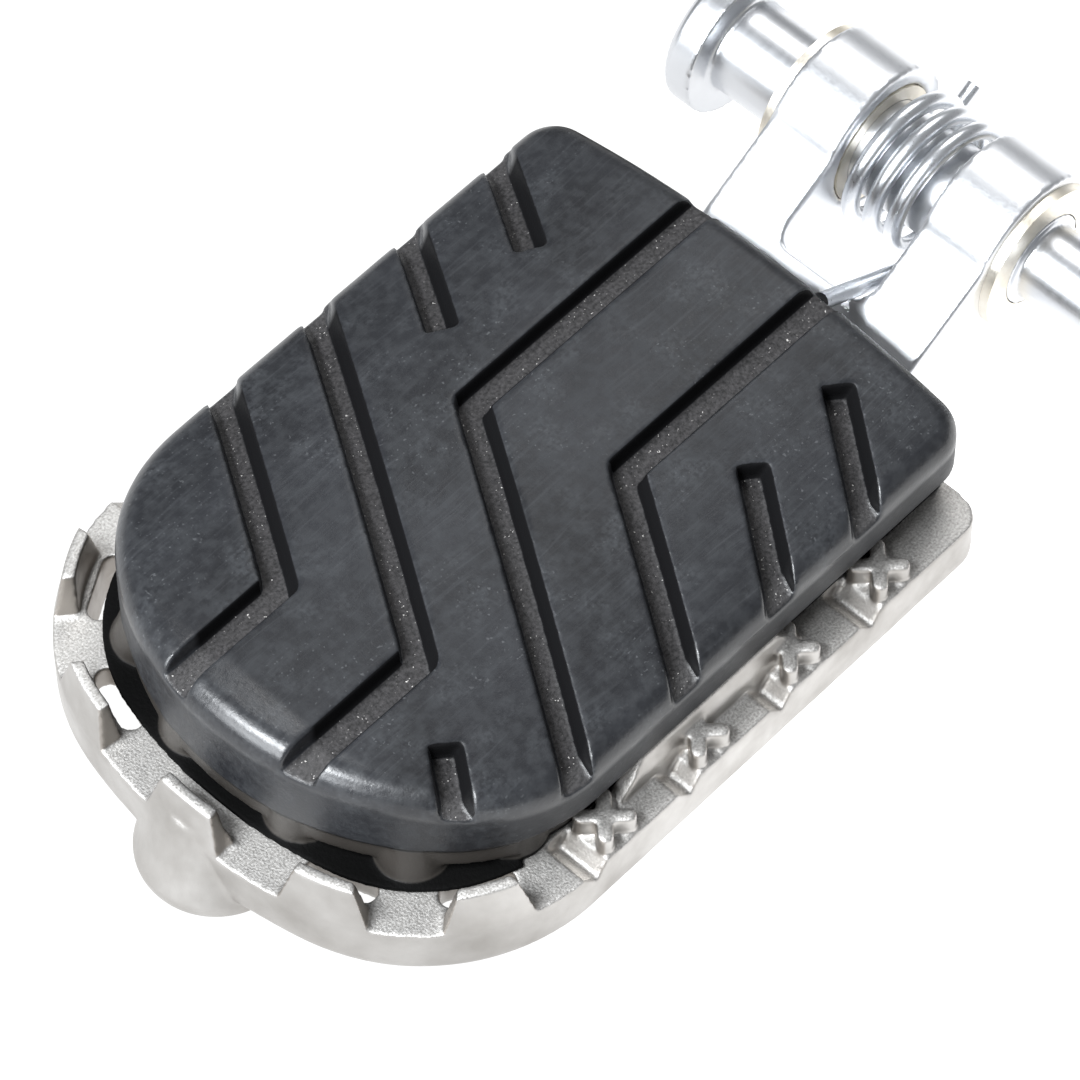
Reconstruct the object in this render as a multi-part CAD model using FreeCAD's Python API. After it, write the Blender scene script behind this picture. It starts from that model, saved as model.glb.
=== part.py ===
import FreeCAD, Part
import math
import os
from collections import namedtuple

# A folding motorcycle footpeg: a cast platform with a toothed rim, a thick rubber tread pad on top,
# and a bolt-on hinge joint that turns on a headed pivot pin. Millimetres, +Z up.
# The pivot axis runs along Y at x = 0, z = 0, and the peg reaches out along +X.
# The rim's land, where the pad rests, is level with the pivot axis.
# Everything is modelled about the peg's middle plane, then moved along Y, so that the
# origin lies on the pivot axis at the shoulder of the pin's free end.

Vector = FreeCAD.Vector
Plan = namedtuple("Plan", "rear apex half_width end_radius corner_radius rear_radius")

# Pivot pin and bushes
PIN_RADIUS = 5.0
PIN_CLEARANCE = 0.04
PIN_END_RADIUS = 4.0
PIN_END_LENGTH = 9.0
PIN_NOSE_LENGTH = 2.0
PIN_HEAD_RADIUS = 8.0
PIN_HEAD_THICKNESS = 3.5
PIN_CHAMFER = 0.6
BRACKET_EAR = 8.8
RING_GROOVE_WIDTH = 1.2
RING_GROOVE_DEPTH = 0.4
BUSH_WALL = 1.5
BUSH_FLANGE_WIDTH = 1.3
BUSH_FLANGE_THICKNESS = 1.0
SEAT_CLEARANCE = 0.02
SHOULDER_GAP = 0.1

# Hinge joint, from the pivot axis to the platform's rear edge and on under its floor
HINGE_REACH = 25.5
KNUCKLE_WALL = 2.0
KNUCKLE_WIDTH = 8.0
SPRING_GAP = 11.0
SLOT_CORNER_RADIUS = 2.0
ARM_SETBACK = 4.5
FLANGE_OVERLAP = 22.5
FLANGE_WIDTH = 30.0
FLANGE_THICKNESS = 4.2
FLANGE_CORNER_RADIUS = 4.0
FLANGE_GAP = 0.3

# Platform
PLATFORM_LENGTH = 74.9
PLATFORM_WIDTH = 59.6
RIM_END_RADIUS = 54.7
RIM_CORNER_RADIUS = 21.3
RIM_REAR_RADIUS = 3.0
RIM_DEPTH = 6.0
RIM_WALL = 3.2
RIM_LEDGE = 5.0
RIM_EDGE_RADIUS = 1.4
FLOOR_THICKNESS = 3.0
SEAT_THICKNESS = 4.0
SEAT_MARGIN = 2.0
RIB_THICKNESS = 2.4
RIB_SPACING = 15.2
DRAIN_START = 26.5
DRAIN_LENGTH = 16.0
DRAIN_WIDTH = 10.0
DRAIN_SPACING = 29.0
DRAIN_CORNER_RADIUS = 3.0
SIEVE_LENGTH = 7.0
SIEVE_WIDTH = 2.2
SIEVE_CORNER_RADIUS = 1.0

# Teeth of the rim: battlements round the outer end, crossed teeth with notches along the sides
TOOTH_PITCH = 15.5
TOOTH_COUNT = 5
TOOTH_HEIGHT = 4.6
TOOTH_LEAN = 0.9
TOOTH_TOP = 1.2
TOOTH_ROOT = 2.4
VALLEY_WIDTH = 6.6
VALLEY_FLANK = 1.2
CROSS_START = 12.1
CROSS_PITCH = 12.2
CROSS_COUNT = 4
CROSS_SPAN = 5.8
CROSS_ARM = 1.5
CROSS_HEIGHT = 2.2
CROSS_INSET = 2.7
NOTCH_START = 2.3
NOTCH_BOTTOM = 3.6
NOTCH_END = 5.3
NOTCH_DEPTH = 1.8
KEEPER_START = 21.5
KEEPER_LENGTH = 25.0
KEEPER_GAP = 0.3
KEEPER_TOP = 1.1
KEEPER_ROOT = 1.7
KEEPER_STEP = 1.8

# Outer boss with a blind thread for a lean feeler
BOSS_RADIUS = 7.6
BOSS_INSET = 4.4
BOSS_STRAIGHT = 2.2
BOSS_BLEND = 1.5
BOSS_EDGE_RADIUS = 1.8
FEELER_THREAD_RADIUS = 2.5
FEELER_THREAD_DEPTH = 7.0

# Tread pad
PAD_OVERHANG = 1.5
PAD_SIDE_GAP = 3.4
PAD_END_GAP = 5.0
PAD_END_RADIUS = 30.3
PAD_CORNER_RADIUS = 18.2
PAD_REAR_RADIUS = 4.0
PAD_HEIGHT = 13.5
PAD_CROWN_RADIUS = 102.7
PAD_SHOULDER_RADIUS = 2.6
LIP_BOTTOM = 4.0
BODY_INSET = 1.6
BODY_REAR_INSET = 0.5
BAND_BOTTOM = 1.5
BAND_INSET = 0.3
CORE_INSET = 3.3
CORE_LENGTH = 13.4
LUG_RADIUS = 3.5
FOOT_INSET = 4.5
FOOT_HEIGHT = 0.5

# Tread grooves: elbows and blind ends are placed from the pad's rear edge and its middle line
GROOVE_WIDTH = 3.2
GROOVE_DEPTH = 2.0
TREAD_ANGLE = 57.2
BLOCK_ANGLE = 53.5
REAR_ELBOWS = [(31.4, -6.8), (27.2, 8.3)]
OUTER_ELBOWS = [(54.3, 8.7), (57.4, -5.5)]
LEFT_BLIND_ENDS = [(14.7, -15.2), (26.9, -14.8)]
RIGHT_BLIND_ENDS = [(6.9, 15.7), (18.7, 15.9), (59.0, 16.2)]

# Screws, washers and the threaded bushes moulded into the pad
PAD_SCREW_RADIUS = 2.5
PAD_SCREW_HEAD_RADIUS = 4.75
PAD_SCREW_HEAD_HEIGHT = 2.7
PAD_SCREW_LENGTH = 9.0
PAD_SCREW_SOCKET = 1.6
PAD_SCREW_SOCKET_DEPTH = 1.4
PAD_SCREW_INNER = 30.5
PAD_SCREW_OUTER = 54.5
WASHER_RADIUS = 5.5
WASHER_THICKNESS = 1.0
INSERT_RADIUS = 4.5
INSERT_LENGTH = 6.5
INSERT_FLANGE_RADIUS = 7.0
INSERT_FLANGE_THICKNESS = 1.5
INSERT_CLEARANCE = 0.05
THREAD_CLEARANCE = 0.03
HOLE_CLEARANCE = 0.25
JOINT_SCREW_RADIUS = 2.5
JOINT_SCREW_HEAD_RADIUS = 4.8
JOINT_SCREW_SINK = 0.2
JOINT_SCREW_SOCKET = 2.0
JOINT_SCREW_SOCKET_DEPTH = 1.8
JOINT_SCREW_INNER = 6.5
JOINT_SCREW_OUTER = 17.5
JOINT_SCREW_SPACING = 20.0

# Return spring
WIRE_RADIUS = 0.9
COIL_RADIUS = 7.0
COIL_TURNS = 3
COIL_STEPS = 20
COIL_END_GAP = 0.4
LEG_ANGLE = 30.0
LEG_GAP = 0.15
PEG_LEG_LENGTH = 19.0
BRACKET_LEG_LENGTH = 10.0

# What follows from the sizes above
BEYOND = 5.0
KNUCKLE_OUTER = SPRING_GAP / 2 + KNUCKLE_WIDTH
BUSH_OUTER = PIN_RADIUS + PIN_CLEARANCE + BUSH_WALL
KNUCKLE_RADIUS = BUSH_OUTER + SEAT_CLEARANCE + KNUCKLE_WALL
SHOULDER = KNUCKLE_OUTER + BUSH_FLANGE_THICKNESS + SHOULDER_GAP
APEX = HINGE_REACH + PLATFORM_LENGTH
HALF_WIDTH = PLATFORM_WIDTH / 2
FLANGE_TOP = -SEAT_THICKNESS
FLANGE_BOTTOM = FLANGE_TOP - FLANGE_THICKNESS
FLANGE_END = HINGE_REACH + FLANGE_OVERLAP
PAD_REAR = HINGE_REACH - PAD_OVERHANG
PAD_HALF_WIDTH = HALF_WIDTH - PAD_SIDE_GAP
PAD_SCREWS = {"inner": HINGE_REACH + PAD_SCREW_INNER, "outer": HINGE_REACH + PAD_SCREW_OUTER}
CROWN_CENTRE = PAD_HEIGHT - PAD_CROWN_RADIUS
FAR = PLATFORM_LENGTH + PLATFORM_WIDTH
RIM_PLAN = Plan(HINGE_REACH, APEX, HALF_WIDTH, RIM_END_RADIUS, RIM_CORNER_RADIUS, RIM_REAR_RADIUS)
PAD_PLAN = Plan(
    PAD_REAR, APEX - PAD_END_GAP, PAD_HALF_WIDTH, PAD_END_RADIUS, PAD_CORNER_RADIUS, PAD_REAR_RADIUS
)


# Outlines

def inset_plan(plan, inset):
    """The same outline, moved inwards all round."""
    sharpest = 0.4
    return Plan(
        plan.rear + inset,
        plan.apex - inset,
        plan.half_width - inset,
        plan.end_radius - inset,
        plan.corner_radius - inset,
        max(plan.rear_radius - inset, sharpest),
    )


def corner_centre(plan):
    """Centre of the corner arc between side and end arc, and the angle at which the two arcs meet."""
    rise = plan.half_width - plan.corner_radius
    reach = math.sqrt((plan.end_radius - plan.corner_radius) ** 2 - rise ** 2)
    return plan.apex - plan.end_radius + reach, rise, math.atan2(rise, reach)


def plan_wire(plan, z):
    """Closed outline: straight rear edge and sides, rounded outer end."""
    corner_x, corner_y, meet = corner_centre(plan)
    middle = (meet + math.pi / 2) / 2
    half, rear, radius = plan.half_width, plan.rear, plan.rear_radius
    cut_in = radius * (1 - math.sqrt(0.5))
    meet_x = corner_x + plan.corner_radius * math.cos(meet)
    meet_y = corner_y + plan.corner_radius * math.sin(meet)
    middle_x = corner_x + plan.corner_radius * math.cos(middle)
    middle_y = corner_y + plan.corner_radius * math.sin(middle)
    edges = []
    for side in (1, -1):
        rear_start = Vector(rear, side * (half - radius), z)
        rear_middle = Vector(rear + cut_in, side * (half - cut_in), z)
        rear_end = Vector(rear + radius, side * half, z)
        side_end = Vector(corner_x, side * half, z)
        corner_middle = Vector(middle_x, side * middle_y, z)
        corner_end = Vector(meet_x, side * meet_y, z)
        edges.append(Part.Arc(rear_start, rear_middle, rear_end).toShape())
        edges.append(Part.makeLine(rear_end, side_end))
        edges.append(Part.Arc(side_end, corner_middle, corner_end).toShape())
    end_arc = Part.Arc(Vector(meet_x, meet_y, z), Vector(plan.apex, 0, z), Vector(meet_x, -meet_y, z))
    edges.append(end_arc.toShape())
    edges.append(Part.makeLine(Vector(rear, -(half - radius), z), Vector(rear, half - radius, z)))
    return Part.Wire(Part.__sortEdges__(edges))


def rim_station(along):
    """Point of the rim's outline at a distance from its apex, and its outward direction."""
    corner_x, corner_y, meet = corner_centre(RIM_PLAN)
    side = math.copysign(1, along)
    end_run = RIM_END_RADIUS * meet
    corner_run = RIM_CORNER_RADIUS * (math.pi / 2 - meet)
    run = min(abs(along), end_run + corner_run)
    if run <= end_run:
        angle = run / RIM_END_RADIUS
        x = APEX - RIM_END_RADIUS * (1 - math.cos(angle))
        y = RIM_END_RADIUS * math.sin(angle)
    else:
        angle = meet + (run - end_run) / RIM_CORNER_RADIUS
        x = corner_x + RIM_CORNER_RADIUS * math.cos(angle)
        y = corner_y + RIM_CORNER_RADIUS * math.sin(angle)
    x -= abs(along) - run
    return Vector(x, side * y, 0), Vector(math.cos(angle), side * math.sin(angle), 0)


def place_at_rim(shape, along):
    """Turn and move a shape drawn at the origin, outwards along +X, to a point of the rim."""
    point, outward = rim_station(along)
    shape.rotate(Vector(0, 0, 0), Vector(0, 0, 1), math.degrees(math.atan2(outward.y, outward.x)))
    shape.translate(point)
    return shape


# Simple solids

def plan_solid(plan, low, high):
    return Part.Face(plan_wire(plan, low)).extrude(Vector(0, 0, high - low))


def taper_solid(low_plan, low, high_plan, high):
    return Part.makeLoft([plan_wire(low_plan, low), plan_wire(high_plan, high)], True, True)


def box(x0, x1, y0, y1, z0, z1):
    return Part.makeBox(x1 - x0, y1 - y0, z1 - z0, Vector(x0, y0, z0))


def round_box(x0, x1, y0, y1, z0, z1, radius):
    """Box with rounded upright edges."""
    block = box(x0, x1, y0, y1, z0, z1)
    upright = [edge for edge in block.Edges if edge.BoundBox.ZLength > (z1 - z0) / 2]
    return block.makeFillet(radius, upright)


def post(x, y, radius, low, high):
    return Part.makeCylinder(radius, high - low, Vector(x, y, low))


def across(radius, start, end):
    """Cylinder on the pivot axis."""
    return Part.makeCylinder(radius, end - start, Vector(0, start, 0), Vector(0, 1, 0))


def polygon_solid(points, sweep):
    """Closed polygon pushed along a straight line."""
    return Part.Face(Part.makePolygon(points + points[:1])).extrude(sweep)


def hexagon(x, y, half_flats, low, high):
    corner = half_flats / math.cos(math.pi / 6)
    points = []
    for step in range(6):
        angle = step * math.pi / 3
        points.append(Vector(x + corner * math.cos(angle), y + corner * math.sin(angle), low))
    return polygon_solid(points, Vector(0, 0, high - low))


def band(start, end, width, low, high):
    """Upright straight band of constant width between two points, with square ends."""
    length = math.hypot(end[0] - start[0], end[1] - start[1])
    angle = math.degrees(math.atan2(end[1] - start[1], end[0] - start[0]))
    piece = box(0, length, -width / 2, width / 2, low, high)
    piece.rotate(Vector(0, 0, 0), Vector(0, 0, 1), angle)
    piece.translate(Vector(start[0], start[1], 0))
    return piece


# Platform

def battlements():
    """The raised rim round the outer end, cut into teeth by trapezoid valleys."""
    outer = taper_solid(RIM_PLAN, 0, inset_plan(RIM_PLAN, TOOTH_LEAN), TOOTH_HEIGHT)
    inner_top = inset_plan(RIM_PLAN, TOOTH_LEAN + TOOTH_TOP)
    inner = taper_solid(inset_plan(RIM_PLAN, TOOTH_ROOT), 0, inner_top, TOOTH_HEIGHT)
    last_valley = TOOTH_PITCH * TOOTH_COUNT / 2
    sides_end = rim_station(last_valley)[0].x
    sides = box(HINGE_REACH - BEYOND, sides_end, -FAR, FAR, -BEYOND, TOOTH_HEIGHT + BEYOND)
    cuts = [inner, sides]
    for index in range(TOOTH_COUNT + 1):
        cuts.append(place_at_rim(valley(), TOOTH_PITCH * index - last_valley))
    return outer.cut(cuts).Solids


def valley():
    """Cutter for one valley of the rim."""
    low, high = -BEYOND, TOOTH_HEIGHT + BEYOND
    slope = VALLEY_FLANK / TOOTH_HEIGHT
    half_low = VALLEY_WIDTH / 2 + slope * low
    half_high = VALLEY_WIDTH / 2 + slope * high
    start = -2 * RIM_LEDGE
    points = [
        Vector(start, -half_low, low),
        Vector(start, half_low, low),
        Vector(start, half_high, high),
        Vector(start, -half_high, high),
    ]
    return polygon_solid(points, Vector(3 * RIM_LEDGE, 0, 0))


def cross_tooth(x, side):
    """Two crossed ridges with round ends."""
    y = side * (HALF_WIDTH - CROSS_INSET)
    reach = (CROSS_SPAN - CROSS_ARM) / 2 * math.sqrt(0.5)
    low = -FLOOR_THICKNESS / 2
    ridges = []
    for slant in (1, -1):
        ends = [(x - reach, y - slant * reach), (x + reach, y + slant * reach)]
        ridges.append(band(ends[0], ends[1], CROSS_ARM, low, CROSS_HEIGHT))
        ridges += [post(end[0], end[1], CROSS_ARM / 2, low, CROSS_HEIGHT) for end in ends]
    return ridges[0].fuse(ridges[1:])


def notch(x, side):
    """Cutter for the notch across the land, beside a crossed tooth."""
    y = side * (PAD_HALF_WIDTH - BODY_INSET)
    points = [
        Vector(x + NOTCH_START, y, 0),
        Vector(x + NOTCH_BOTTOM, y, -NOTCH_DEPTH),
        Vector(x + NOTCH_END, y, 0),
        Vector(x + NOTCH_END, y, BEYOND),
        Vector(x + NOTCH_START, y, BEYOND),
    ]
    return polygon_solid(points, Vector(0, side * (BEYOND + PAD_SIDE_GAP), 0))


def keeper(side):
    """Low wall beside the pad, which keeps it from sliding sideways. Its ends slope down to the land."""
    start = PAD_HALF_WIDTH - BODY_INSET + KEEPER_GAP
    top = LIP_BOTTOM - KEEPER_GAP
    low = -FLOOR_THICKNESS / 2
    x0, x1 = HINGE_REACH + KEEPER_START, HINGE_REACH + KEEPER_START + KEEPER_LENGTH
    profile = [
        Vector(x0, side * start, low),
        Vector(x0, side * start, top),
        Vector(x0, side * (start + KEEPER_TOP), top),
        Vector(x0, side * (start + KEEPER_ROOT), KEEPER_STEP),
        Vector(x0, side * (start + KEEPER_ROOT), low),
    ]
    wall = polygon_solid(profile, Vector(x1 - x0, 0, 0))
    ends = [
        Vector(x0, -FAR, low),
        Vector(x0, -FAR, 0),
        Vector(x0 + top, -FAR, top),
        Vector(x1 - top, -FAR, top),
        Vector(x1, -FAR, 0),
        Vector(x1, -FAR, low),
    ]
    return wall.common(polygon_solid(ends, Vector(0, 2 * FAR, 0)))


def outer_boss():
    """Round boss under the outer end that swells out of the rim's wall, rounded at its foot."""
    x = APEX - BOSS_INSET
    foot = -KNUCKLE_RADIUS
    swell_start = foot + BOSS_STRAIGHT
    base = post(x, 0, BOSS_RADIUS, foot, swell_start)
    foot_edge = [edge for edge in base.Edges if edge.BoundBox.ZMax < foot + BOSS_STRAIGHT / 2]
    base = base.makeFillet(BOSS_EDGE_RADIUS, foot_edge)
    swell = Part.makeCone(BOSS_RADIUS, BOSS_INSET, BOSS_BLEND - swell_start, Vector(x, 0, swell_start))
    behind_tooth = plan_solid(inset_plan(RIM_PLAN, TOOTH_ROOT), 0, BOSS_BLEND + BEYOND)
    return base.fuse(swell.cut(behind_tooth))


def floor_openings():
    """Drains on both sides of the spine, and small sieves behind the battlements beside the apex."""
    low, high = -RIM_DEPTH - BEYOND, BEYOND
    openings = []
    x0 = HINGE_REACH + DRAIN_START
    for side in (-1, 1):
        middle = side * DRAIN_SPACING / 2
        y0, y1 = middle - DRAIN_WIDTH / 2, middle + DRAIN_WIDTH / 2
        openings.append(round_box(x0, x0 + DRAIN_LENGTH, y0, y1, low, high, DRAIN_CORNER_RADIUS))
        for index in range(1, TOOTH_COUNT // 2 + 1):
            near, far = -RIM_WALL, -RIM_WALL - SIEVE_WIDTH
            half = SIEVE_LENGTH / 2
            sieve = round_box(far, near, -half, half, low, high, SIEVE_CORNER_RADIUS)
            openings.append(place_at_rim(sieve, side * index * TOOTH_PITCH))
    return openings


def joint_screw_places():
    half = JOINT_SCREW_SPACING / 2
    inner, outer = HINGE_REACH + JOINT_SCREW_INNER, HINGE_REACH + JOINT_SCREW_OUTER
    return {
        "inner_left": (inner, -half),
        "inner_right": (inner, half),
        "outer_left": (outer, -half),
        "outer_right": (outer, half),
    }


def countersink(x, y):
    """Hole for a joint screw through the platform's seat."""
    head = JOINT_SCREW_HEAD_RADIUS + HOLE_CLEARANCE
    hole = JOINT_SCREW_RADIUS + HOLE_CLEARANCE
    depth = head - hole
    top = -JOINT_SCREW_SINK
    cone = Part.makeCone(hole, head, depth, Vector(x, y, top - depth))
    return cone.fuse([post(x, y, head, top, BEYOND), post(x, y, hole, -RIM_DEPTH, top)])


def platform():
    body = plan_solid(RIM_PLAN, -RIM_DEPTH, 0)
    lower_edges = [edge for edge in body.Edges if edge.BoundBox.ZMax < -RIM_DEPTH / 2]
    body = body.makeFillet(RIM_EDGE_RADIUS, lower_edges)
    body = body.cut(plan_solid(inset_plan(RIM_PLAN, RIM_WALL), -RIM_DEPTH - BEYOND, -FLOOR_THICKNESS))
    seat_end = FLANGE_END + SEAT_MARGIN
    seat_half = FLANGE_WIDTH / 2 + SEAT_MARGIN
    seat_start = HINGE_REACH + RIM_WALL / 2
    seat = box(seat_start, seat_end, -seat_half, seat_half, -SEAT_THICKNESS, -FLOOR_THICKNESS)
    additions = [outer_boss(), seat]
    rib_start, rib_end = FLANGE_END + FLANGE_GAP, APEX - RIM_WALL
    for middle in (-RIB_SPACING / 2, RIB_SPACING / 2):
        y0, y1 = middle - RIB_THICKNESS / 2, middle + RIB_THICKNESS / 2
        additions.append(box(rib_start, rib_end, y0, y1, -RIM_DEPTH, -FLOOR_THICKNESS))
    body = body.fuse(additions)
    recess_half = FLANGE_WIDTH / 2 + FLANGE_GAP
    recess_end = FLANGE_END + FLANGE_GAP
    low = -RIM_DEPTH - BEYOND
    cuts = [box(HINGE_REACH - BEYOND, recess_end, -recess_half, recess_half, low, -SEAT_THICKNESS)]
    cuts += [post(x, 0, PAD_SCREW_RADIUS + HOLE_CLEARANCE, low, BEYOND) for x in PAD_SCREWS.values()]
    cuts += [countersink(x, y) for x, y in joint_screw_places().values()]
    foot = -KNUCKLE_RADIUS
    cuts.append(post(APEX - BOSS_INSET, 0, FEELER_THREAD_RADIUS, foot - BEYOND, foot + FEELER_THREAD_DEPTH))
    teeth = battlements()
    for side in (-1, 1):
        teeth.append(keeper(side))
        for index in range(CROSS_COUNT):
            x = HINGE_REACH + CROSS_START + index * CROSS_PITCH
            teeth.append(cross_tooth(x, side))
            cuts.append(notch(x, side))
    body = body.cut(cuts + floor_openings())
    return body.fuse(teeth).removeSplitter()


# Tread pad

def tread_lines():
    """Centre lines of the grooves: long bent ones, then short ones that end blind."""
    lean = 1 / math.tan(math.radians(TREAD_ANGLE))
    block_lean = 1 / math.tan(math.radians(BLOCK_ANGLE))
    lines = []
    for along, y in REAR_ELBOWS:
        x = PAD_REAR + along
        lines.append([(x - FAR, y), (x, y), (x + FAR * lean, y + FAR)])
    for along, y in OUTER_ELBOWS:
        x = PAD_REAR + along
        lines.append([(x - FAR * lean, y - FAR), (x, y), (x + FAR, y)])
    for along, y in LEFT_BLIND_ENDS:
        x = PAD_REAR + along
        lines.append([(x - FAR * lean, y - FAR), (x, y)])
    for along, y in RIGHT_BLIND_ENDS:
        x = PAD_REAR + along
        lines.append([(x, y), (x + FAR * block_lean, y + FAR)])
    return lines


def crown(drop):
    """Cylinder whose upper side is the pad's crown, or lies below it by this much."""
    start = Vector(PAD_REAR - FAR, 0, CROWN_CENTRE)
    return Part.makeCylinder(PAD_CROWN_RADIUS - drop, 3 * FAR, start, Vector(1, 0, 0))


def grooves():
    """Cutters for the tread, all to the same depth under the crown."""
    low, high = LIP_BOTTOM, PAD_HEIGHT + BEYOND
    floor = crown(GROOVE_DEPTH)
    cutters = []
    for line in tread_lines():
        for start, end in zip(line, line[1:]):
            cutters.append(band(start, end, GROOVE_WIDTH, low, high).cut(floor))
        for x, y in line[1:-1]:
            cutters.append(post(x, y, GROOVE_WIDTH / 2, low, high).cut(floor))
    return cutters


def lugs():
    """Round lugs, one behind each valley of the rim, that lean out from the lip to the valley's ledge."""
    outline = plan_wire(PAD_PLAN, 0)
    upwards = Vector(0, 0, 1)
    shapes = []
    for index in range(TOOTH_COUNT + 1):
        point, outward = rim_station(TOOTH_PITCH * (index - TOOTH_COUNT / 2))
        lip_gap = Part.Vertex(point).distToShape(outline)[0]
        foot = point - outward * (RIM_LEDGE + LUG_RADIUS)
        head = point - outward * (max(lip_gap, RIM_LEDGE) + LUG_RADIUS) + upwards * LIP_BOTTOM
        rings = [Part.Wire(Part.makeCircle(LUG_RADIUS, end, upwards)) for end in (foot, head)]
        shapes.append(Part.makeLoft(rings, True, True))
    return shapes


def tread_pad():
    lip = plan_solid(PAD_PLAN, LIP_BOTTOM, PAD_HEIGHT + BEYOND).common(crown(0))
    shoulder = [edge for edge in lip.Edges if edge.BoundBox.ZMin > LIP_BOTTOM + PAD_SHOULDER_RADIUS]
    lip = lip.makeFillet(PAD_SHOULDER_RADIUS, shoulder).cut(grooves())
    core_start = PAD_PLAN.apex - CORE_LENGTH
    nose = box(core_start, core_start + FAR, -FAR, FAR, -BEYOND, PAD_HEIGHT)
    side_plan = inset_plan(PAD_PLAN, BODY_INSET)._replace(rear=PAD_REAR + BODY_REAR_INSET)
    sides = plan_solid(side_plan, 0, LIP_BOTTOM).cut(nose)
    band_under_lip = plan_solid(inset_plan(PAD_PLAN, BAND_INSET), BAND_BOTTOM, LIP_BOTTOM).common(nose)
    core = plan_solid(inset_plan(PAD_PLAN, CORE_INSET), 0, BAND_BOTTOM).common(nose)
    foot = plan_solid(inset_plan(RIM_PLAN, FOOT_INSET), 0, FOOT_HEIGHT).common(nose)
    pad = lip.fuse([sides, band_under_lip, core, foot] + lugs()).removeSplitter()
    return pad.cut([insert_outside(x, INSERT_CLEARANCE) for x in PAD_SCREWS.values()])


# Fasteners of the pad

def insert_outside(x, clearance):
    """Outside of a threaded bush in the pad: a neck with a flange at its top."""
    flange_low = INSERT_LENGTH - INSERT_FLANGE_THICKNESS - clearance
    neck = post(x, 0, INSERT_RADIUS + clearance, 0, INSERT_LENGTH)
    flange = post(x, 0, INSERT_FLANGE_RADIUS + clearance, flange_low, INSERT_LENGTH + clearance)
    return neck.fuse(flange)


def pad_insert(x):
    thread = post(x, 0, PAD_SCREW_RADIUS + THREAD_CLEARANCE, -BEYOND, INSERT_LENGTH + BEYOND)
    return insert_outside(x, 0).cut(thread)


def pad_washer(x):
    low = -FLOOR_THICKNESS - WASHER_THICKNESS
    disc = post(x, 0, WASHER_RADIUS, low, -FLOOR_THICKNESS)
    return disc.cut(post(x, 0, PAD_SCREW_RADIUS + HOLE_CLEARANCE, low, -FLOOR_THICKNESS))


def pad_screw(x):
    """Button-head screw from below, with a hexagon socket."""
    seat = -FLOOR_THICKNESS - WASHER_THICKNESS
    foot = seat - PAD_SCREW_HEAD_HEIGHT
    head = post(x, 0, PAD_SCREW_HEAD_RADIUS, foot, seat)
    lower_edge = [edge for edge in head.Edges if edge.BoundBox.ZMax < (foot + seat) / 2]
    head = head.makeFillet(PAD_SCREW_HEAD_HEIGHT * 0.6, lower_edge)
    shank = post(x, 0, PAD_SCREW_RADIUS, seat, seat + PAD_SCREW_LENGTH)
    socket = hexagon(x, 0, PAD_SCREW_SOCKET, foot - BEYOND, foot + PAD_SCREW_SOCKET_DEPTH)
    return head.fuse(shank).cut(socket)


# Hinge joint and its screws

def joint_screw(x, y):
    """Countersunk screw from above, with a hexagon socket."""
    top = -JOINT_SCREW_SINK
    depth = JOINT_SCREW_HEAD_RADIUS - JOINT_SCREW_RADIUS
    cone_foot = Vector(x, y, top - depth - HOLE_CLEARANCE / 2)
    head = Part.makeCone(JOINT_SCREW_RADIUS, JOINT_SCREW_HEAD_RADIUS, depth, cone_foot)
    shank = post(x, y, JOINT_SCREW_RADIUS, FLANGE_BOTTOM, cone_foot.z)
    socket = hexagon(x, y, JOINT_SCREW_SOCKET, top - JOINT_SCREW_SOCKET_DEPTH, BEYOND)
    return head.fuse(shank).cut(socket)


def slot_end(arm_top_end):
    """How far the spring's slot reaches, so that the spring's leg lies just over the bridge's edge."""
    slope = (KNUCKLE_RADIUS - FLANGE_TOP) / arm_top_end
    rise = math.tan(math.radians(LEG_ANGLE))
    offset = COIL_RADIUS + WIRE_RADIUS + LEG_GAP
    leg_at_zero = -offset / math.cos(math.radians(LEG_ANGLE))
    return (KNUCKLE_RADIUS - leg_at_zero) / (slope + rise)


def hinge_joint():
    """Two knuckles on arms that run down to a flange under the platform, with a slot for the spring."""
    arm_top_end = HINGE_REACH - ARM_SETBACK
    side_view = [
        Vector(0, -KNUCKLE_OUTER, KNUCKLE_RADIUS),
        Vector(arm_top_end, -KNUCKLE_OUTER, FLANGE_TOP),
        Vector(HINGE_REACH + RIM_WALL, -KNUCKLE_OUTER, FLANGE_TOP),
        Vector(HINGE_REACH + RIM_WALL, -KNUCKLE_OUTER, FLANGE_BOTTOM),
        Vector(0, -KNUCKLE_OUTER, FLANGE_BOTTOM),
    ]
    arms = polygon_solid(side_view, Vector(0, 2 * KNUCKLE_OUTER, 0))
    half = FLANGE_WIDTH / 2
    low, high = FLANGE_BOTTOM, FLANGE_TOP
    flange = round_box(PAD_REAR, FLANGE_END, -half, half, low, high, FLANGE_CORNER_RADIUS)
    joint = across(KNUCKLE_RADIUS, -KNUCKLE_OUTER, KNUCKLE_OUTER).fuse([arms, flange])
    end = slot_end(arm_top_end)
    gap, tall = SPRING_GAP / 2, 2 * KNUCKLE_RADIUS
    cuts = [round_box(-tall, end, -gap, gap, -tall, tall, SLOT_CORNER_RADIUS)]
    cuts.append(across(BUSH_OUTER + SEAT_CLEARANCE, -2 * KNUCKLE_OUTER, 2 * KNUCKLE_OUTER))
    for x, y in joint_screw_places().values():
        cuts.append(post(x, y, JOINT_SCREW_RADIUS + THREAD_CLEARANCE, FLANGE_BOTTOM - BEYOND, 0))
    return joint.cut(cuts).removeSplitter()


# Pivot

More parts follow.
